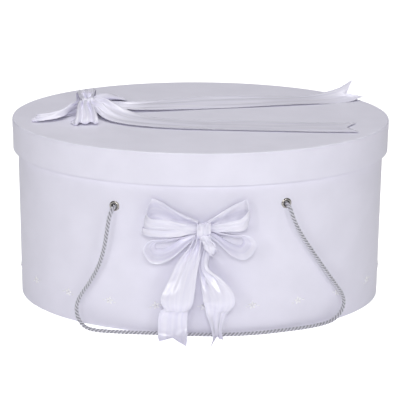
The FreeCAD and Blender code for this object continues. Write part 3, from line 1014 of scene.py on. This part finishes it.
@dataclass(frozen=True)
class CordHandle:
    """A limp handle of twisted cord, knotted inside the wall at both ends."""

    diameter: float = 5.0
    length: float = 678.0
    strands: int = 3
    lay_length: float = 13.5  # one whole turn of a strand
    strand_share: float = 0.46  # a strand's radius, as a share of the cord's
    strand_depth: float = 0.97  # a strand's half sizes outwards and round the cord, in its radii
    strand_breadth: float = 1.05
    knot_share: float = 0.9  # the cord is drawn thinner in the knots
    sides: int = 12
    ring_step: float = 0.9

    def centreline(self) -> np.ndarray:
        """Draws a smooth curve by the route's points.

        Returns:
            Points along the curve, in millimetres.
        """
        curve = bpy.data.curves.new("cord_route", "CURVE")
        curve.dimensions = "3D"
        spline = curve.splines.new("NURBS")
        spline.points.add(len(CORD_ROUTE) - 1)
        for point, place in zip(spline.points, CORD_ROUTE):
            point.co = (*(Vector(place) * MM), 1.0)
        spline.order_u = 3
        spline.use_endpoint_u = True
        spline.resolution_u = 24
        holder = add_object("cord_route", curve)
        mesh = bpy.data.meshes.new_from_object(holder)
        points = np.array([v.co for v in mesh.vertices]) / MM
        bpy.data.meshes.remove(mesh)
        bpy.data.objects.remove(holder)
        bpy.data.curves.remove(curve)
        return points

    def strand(
        self, path: np.ndarray, number: int, cord_radius: float, closing: float
    ) -> tuple[np.ndarray, np.ndarray]:
        """The rings of one strand, wound round a path.

        Args:
            path: The cord's centreline, evenly spaced.
            number: Which strand.
            cord_radius: The cord's outer radius.
            closing: How much of each end is drawn in to a point.

        Returns:
            Rings of points, and each ring's distance along the cord.
        """
        run = distance_along(path)
        along = np.gradient(path, axis=0)
        along /= np.linalg.norm(along, axis=1)[:, None]
        radius = cord_radius * self.strand_share
        side = np.cross(along[0], (0.3, 0.2, 1.0))
        rings = np.zeros((len(path), self.sides, 3))
        for i, (place, ahead) in enumerate(zip(path, along)):
            side = side - ahead * side.dot(ahead)
            side /= np.linalg.norm(side)
            other = np.cross(ahead, side)
            turn = -2 * math.pi * (run[i] / self.lay_length) + 2 * math.pi * number / self.strands
            out = side * math.cos(turn) + other * math.sin(turn)
            round_it = -side * math.sin(turn) + other * math.cos(turn)
            from_end = min(run[i], run[-1] - run[i])
            open_here = min(1.0, 0.15 + from_end / closing) if closing else 1.0
            middle = place + out * (cord_radius - radius) * open_here
            for k in range(self.sides):
                angle = 2 * math.pi * k / self.sides
                outwards = out * math.cos(angle) * self.strand_depth
                bulge = outwards + round_it * math.sin(angle) * self.strand_breadth
                rings[i, k] = middle + bulge * radius * open_here
        return rings, run

    def rope(self, name: str, path: np.ndarray, cord_radius: float, closing: float = 0.0) -> Piece:
        """Makes a twisted rope as one mesh, with a map that runs round and along each strand.

        Args:
            name: The piece's name.
            path: The rope's centreline.
            cord_radius: Its outer radius.
            closing: How much of each end is drawn in to a point.

        Returns:
            The new object.
        """
        points, faces, map_points = [], [], []
        for number in range(self.strands):
            rings, run = self.strand(path, number, cord_radius, closing)
            start = sum(len(p) for p in points)
            count = len(rings)
            points.append(rings.reshape(-1, 3))
            strand_faces = grid_faces(count, self.sides, closed=True)
            faces += [tuple(v + start for v in f) for f in strand_faces]
            faces.append(tuple(start + k for k in reversed(range(self.sides))))
            faces.append(tuple(start + (count - 1) * self.sides + k for k in range(self.sides)))
            map_points += [(k, run[r]) for r in range(count) for k in range(self.sides)]
        obj = mesh_object(name, np.vstack(points), faces)
        layer = obj.data.uv_layers.new(name="strand")
        girth = 2 * math.pi * cord_radius * self.strand_share
        for face in obj.data.polygons:
            columns = [map_points[v][0] for v in face.vertices]
            wraps = max(columns) - min(columns) > self.sides / 2
            for index, column, vertex in zip(face.loop_indices, columns, face.vertices):
                k = column + self.sides if wraps and column == 0 else column
                layer.data[index].uv = (k / self.sides * girth * MM, map_points[vertex][1] * MM)
        return obj

    def knot(self, name: str, centre: Vector, outward: Vector) -> Piece:
        """An overhand stopper knot, a trefoil of the same cord drawn tight.

        Args:
            name: The piece's name.
            centre: The knot's middle.
            outward: The direction that the cord leaves it in.

        Returns:
            The new object.
        """
        steps, size, depth = 150, 1.5, 2.6
        side = Vector((0, 0, 1)).cross(outward).normalized()
        up = outward.cross(side)
        path = []
        for i in range(steps + 1):
            t = 2 * math.pi * i / steps
            across = side * (math.sin(t) + 2 * math.sin(2 * t)) + up * (math.cos(t) - 2 * math.cos(2 * t))
            path.append(centre + across * size - outward * (math.sin(3 * t) * depth))
        tight = self.diameter / 2 * self.knot_share
        return self.rope(name, np.array([tuple(p) for p in path]), tight, closing=1.5)

    def build(self, shop: Workshop) -> None:
        """Args:
            shop: The workshop.
        """
        fine = self.centreline()
        run = distance_along(fine)
        even = np.arange(0.0, run[-1], self.ring_step)
        path = np.column_stack([np.interp(even, run, fine[:, k]) for k in range(3)])
        cord = self.rope("twisted_cord_handle", path, self.diameter / 2)
        shop.deliver(cord, Body.BOX, Slot.CORD, ("handle_cord",))
        for name, node, end, before in (
            ("left_cord_knot", "left_stopper_knot", CORD_ROUTE[0], CORD_ROUTE[1]),
            ("right_cord_knot", "right_stopper_knot", CORD_ROUTE[-1], CORD_ROUTE[-2]),
        ):
            low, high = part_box(node)
            centre = (low + high) / 2 / MM
            outward = (Vector(before) - Vector(end)).normalized()
            knot = self.knot(name, centre, outward)
            shop.deliver(knot, Body.BOX, Slot.CORD, (node,))
        LOG.info("cord line is %.1f mm long", run[-1])


# --- Flowers ---


@dataclass(frozen=True)
class FlowerRow:
    """Small raised flowers round the foot, each with a pearl and two leaves."""

    petals: int = 5
    petal_length: float = 4.4
    petal_width: float = 2.6
    petal_rise: float = 0.55
    petal_start: float = 0.7  # from the flower's middle
    narrowing: float = 0.35  # of a petal towards its tip
    leaf_length: float = 4.0
    leaf_droop: float = 0.15  # in radians
    leaf_shift: float = 0.4  # how much farther out a leaf's root is than a petal is long
    pearl_radius: float = 1.0
    pearl_height: float = 0.4  # of its middle, above the petals
    pearl_cut: float = 0.75  # in radii, from its middle down to its flat seat
    peg_inset: float = 0.35  # in radii, from the seat's edge
    peg_length: float = 0.5  # in radii
    turn_spread: float = 0.3  # how far each flower is turned from upright, in radians

    def petal(self, name: str, turn: float, length: float, width: float, start: float) -> Piece:
        """One domed, pointed petal or leaf, pressed from a ball.

        Args:
            name: The object's name.
            turn: Its direction, in radians.
            length: From its root to its tip.
            width: Its widest.
            start: How far its root is from the middle.

        Returns:
            The new object, lying on z = 0 about the flower's middle.
        """
        deselect()
        bpy.ops.mesh.primitive_uv_sphere_add(segments=12, ring_count=6, radius=MM)
        obj = bpy.context.object
        obj.name = name
        for vertex in obj.data.vertices:
            x, y, z = vertex.co / MM
            taper = 1 - self.narrowing * x
            rise = max(z, -0.15) * self.petal_rise * (1 - 0.25 * y * y)
            vertex.co = Vector((x * length / 2, y * width / 2 * taper, rise)) * MM
        outwards = Matrix.Translation(((start + length / 2) * MM, 0, 0))
        obj.data.transform(Matrix.Rotation(turn, 4, "Z") @ outwards)
        return obj

    def flower(self) -> Piece:
        """Makes one whole flower about the origin, facing +Z.

        Returns:
            The new object.
        """
        parts = []
        for n in range(self.petals):
            turn = math.pi / 2 + 2 * math.pi * n / self.petals
            parts.append(self.petal("petal", turn, self.petal_length, self.petal_width, self.petal_start))
        leaf_width, leaf_start = self.petal_width * 0.5, self.petal_length + self.leaf_shift
        for turn in (-self.leaf_droop, math.pi + self.leaf_droop):
            parts.append(self.petal("leaf", turn, self.leaf_length, leaf_width, leaf_start))
        return join(parts, "flower")

    def seats(self) -> list[Matrix]:
        """Finds where each flower sits, from the model's own pearls.

        Returns:
            A matrix for each flower, from the origin to its seat on the wall.
        """
        pearls = frame["nodes"]["flower_pearls"]
        places = np.array([v.co for v in pearls.data.vertices])
        half = np.abs(places[:, :2]).max(axis=0)
        order = np.arctan2(places[:, 0] / half[0], -places[:, 1] / half[1])
        order = np.unwrap(np.sort(order))
        gap = 0.05  # radians, more than a pearl takes up and less than there is between two
        splits = np.where(np.diff(order) > gap)[0]
        angles = [group.mean() for group in np.split(order, splits + 1)]
        if angles[-1] - angles[0] > 2 * math.pi - gap:
            angles = angles[:-1]
        _, wall_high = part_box("body_cover")
        a, b = wall_high.x, wall_high.y
        height = float(places[:, 2].mean())
        matrices = []
        for angle in angles:
            place = Vector((a * math.sin(angle), -b * math.cos(angle), height))
            out = Vector((place.x / a**2, place.y / b**2, 0)).normalized()
            side = Vector((0, 0, 1)).cross(out)
            turned = Matrix((side, Vector((0, 0, 1)), out)).transposed().to_4x4()
            matrices.append(Matrix.Translation(place) @ turned)
        return matrices

    def pearl(self) -> Piece:
        """Makes one pearl above the flower's middle, cut flat below, with a peg that goes into it.

        Returns:
            The new object.
        """
        radius = self.pearl_radius * MM
        middle = Vector((0, 0, (self.petal_rise + self.pearl_height) * MM))
        seat = middle - Vector((0, 0, self.pearl_cut * radius))
        deselect()
        bpy.ops.mesh.primitive_uv_sphere_add(segments=16, ring_count=10, radius=radius, location=middle)
        bpy.ops.object.mode_set(mode="EDIT")
        bpy.ops.mesh.select_all(action="SELECT")
        bpy.ops.mesh.bisect(plane_co=seat, plane_no=(0, 0, 1), use_fill=True, clear_inner=True)
        bpy.ops.mesh.inset(thickness=self.peg_inset * radius)
        drop = (0, 0, -self.peg_length * radius)
        bpy.ops.mesh.extrude_region_move(TRANSFORM_OT_translate={"value": drop})
        bpy.ops.object.mode_set(mode="OBJECT")
        return settle(bpy.context.object)

    def build(self, shop: Workshop) -> None:
        """Copies the flower and its pearl to every place.

        Args:
            shop: The workshop.
        """
        for source, name, slot, node in (
            (self.flower(), "raised_flower_row", Slot.FLOWER, "raised_flowers"),
            (self.pearl(), "pearl_row", Slot.PEARL, "flower_pearls"),
        ):
            copies = []
            for number, seat in enumerate(self.seats()):
                copy = add_object(f"{name}_{number}", source.data.copy())
                turn = self.turn_spread * math.sin(2.3 * number)
                copy.data.transform(seat @ Matrix.Rotation(turn, 4, "Z"))
                copies.append(copy)
            bpy.data.objects.remove(source)
            row = join(copies, name)
            row.data.shade_smooth()
            shop.deliver(row, Body.BOX, slot, (node,))


# --- The model's own nodes, and the stage ---


def dress_frame(shop: Workshop) -> None:
    """Gives every shown node of the model its finish.

    Args:
        shop: The workshop.
    """
    slots = {s["node"]: Slot(s["material_slot"]) for s in frame["record"]["subparts"]}
    for name, obj in frame["nodes"].items():
        shop.dress(obj, slots[name])
        if slots[name] is Slot.METAL:
            choose([obj])
            bpy.ops.object.shade_smooth_by_angle(angle=math.radians(40))
        LOG.info("%s: %s", name, slots[name].value)


@dataclass(frozen=True)
class Stage:
    """A white table, three soft lights in front, one overhead, and the camera.

    Its lengths are in metres, apart from the lens and the sensor, which are in millimetres. Its
    angles are in degrees.
    """

    elevation: float = 18.77
    yaw: float = -0.187
    roll: float = 0.417
    distance: float = 2.063
    lens: float = 151.6
    sensor: float = 36.0
    aim_height: float = 0.1107
    shift: float = 0.006
    table_glow: float = 0.22  # what the table sends up to the box; the camera sees it at 1
    sky_strength: float = 0.11

    def camera(self) -> None:
        """Sets up the camera in front of the box, a little above it."""
        data = bpy.data.cameras.new("camera")
        data.lens, data.sensor_width = self.lens, self.sensor
        data.shift_y = self.shift
        camera = add_object("camera", data)
        e, w, r = (math.radians(v) for v in (self.elevation, self.yaw, self.roll))
        back = Vector((math.sin(w) * math.cos(e), -math.cos(w) * math.cos(e), math.sin(e)))
        right = Vector((math.cos(w), math.sin(w), 0))
        up = back.cross(right)
        rolled = right * math.cos(r) + up * math.sin(r)
        above = back.cross(rolled)
        turned = Matrix((rolled, above, back)).transposed().to_4x4()
        place = Vector((0, 0, self.aim_height)) + back * self.distance
        camera.matrix_world = Matrix.Translation(place) @ turned
        bpy.context.scene.camera = camera

    def light(self, name: str, place: Triple, size: float, power: float) -> None:
        """Adds a square soft light aimed at the box's middle.

        Args:
            name: The light's name.
            place: Where it stands, in metres.
            size: Its side, in metres.
            power: In watts.
        """
        data = bpy.data.lights.new(name, "AREA")
        data.size, data.energy = size, power
        lamp = add_object(name, data)
        lamp.location = place
        towards = Vector((0, 0, self.aim_height)) - Vector(place)
        lamp.rotation_euler = towards.to_track_quat("-Z", "Y").to_euler()

    def floor(self) -> None:
        """A white table that is lit to plain white."""
        deselect()
        bpy.ops.mesh.primitive_plane_add(size=30.0)
        floor = bpy.context.object
        floor.name = "white_table"
        table = Finish("white_acrylic_table", "F4F4F6", 0.6).build()
        tree = table.node_tree
        shader = tree.nodes["Principled BSDF"]
        adjust(shader, {"Emission Color": (1.0, 1.0, 1.0, 1.0)})
        seen = add_node(tree, "ShaderNodeLightPath").outputs["Is Camera Ray"]
        span = {"To Min": self.table_glow, "To Max": 1.0}
        glow = add_node(tree, "ShaderNodeMapRange", span, {"Value": seen})
        connect(shader, {"Emission Strength": glow.outputs["Result"]})
        floor.data.materials.append(table)

    def sky(self) -> None:
        """An even soft fill, which the camera sees as white."""
        world = bpy.data.worlds.new("studio")
        bpy.context.scene.world = world
        world.use_nodes = True
        tree = world.node_tree
        background = tree.nodes["Background"]
        adjust(background, {"Color": (0.96, 0.96, 1.0, 1.0), "Strength": self.sky_strength})
        white = add_node(tree, "ShaderNodeBackground", {"Color": (1.0, 1.0, 1.0, 1.0), "Strength": 1.0})
        seen = add_node(tree, "ShaderNodeLightPath").outputs["Is Camera Ray"]
        shaders = {0: seen, 1: background.outputs[0], 2: white.outputs[0]}
        mix = add_node(tree, "ShaderNodeMixShader", links=shaders)
        connect(tree.nodes["World Output"], {"Surface": mix.outputs[0]})

    def build(self) -> None:
        """Sets the whole stage."""
        bpy.context.scene.view_settings.view_transform = "Standard"
        self.camera()
        self.light("key_softbox", (0.0, -2.3, 1.2), 0.4, 16.0)
        self.light("left_softbox", (-1.1, -2.1, 1.0), 0.35, 6.2)
        self.light("right_softbox", (1.15, -2.1, 1.0), 0.35, 4.9)
        self.light("overhead_softbox", (0.0, 0.05, 2.2), 1.6, 24.0)
        self.floor()
        self.sky()


def main() -> None:
    """Builds the stage, dresses the model and makes every soft piece."""
    logging.basicConfig(level=logging.INFO, format="%(message)s")
    Stage().build()
    shop = Workshop()
    dress_frame(shop)
    CordHandle().build(shop)
    FrontBow().build(shop)
    LidBow().build(shop)
    FlowerRow().build(shop)


if __name__ == "__main__":
    main()
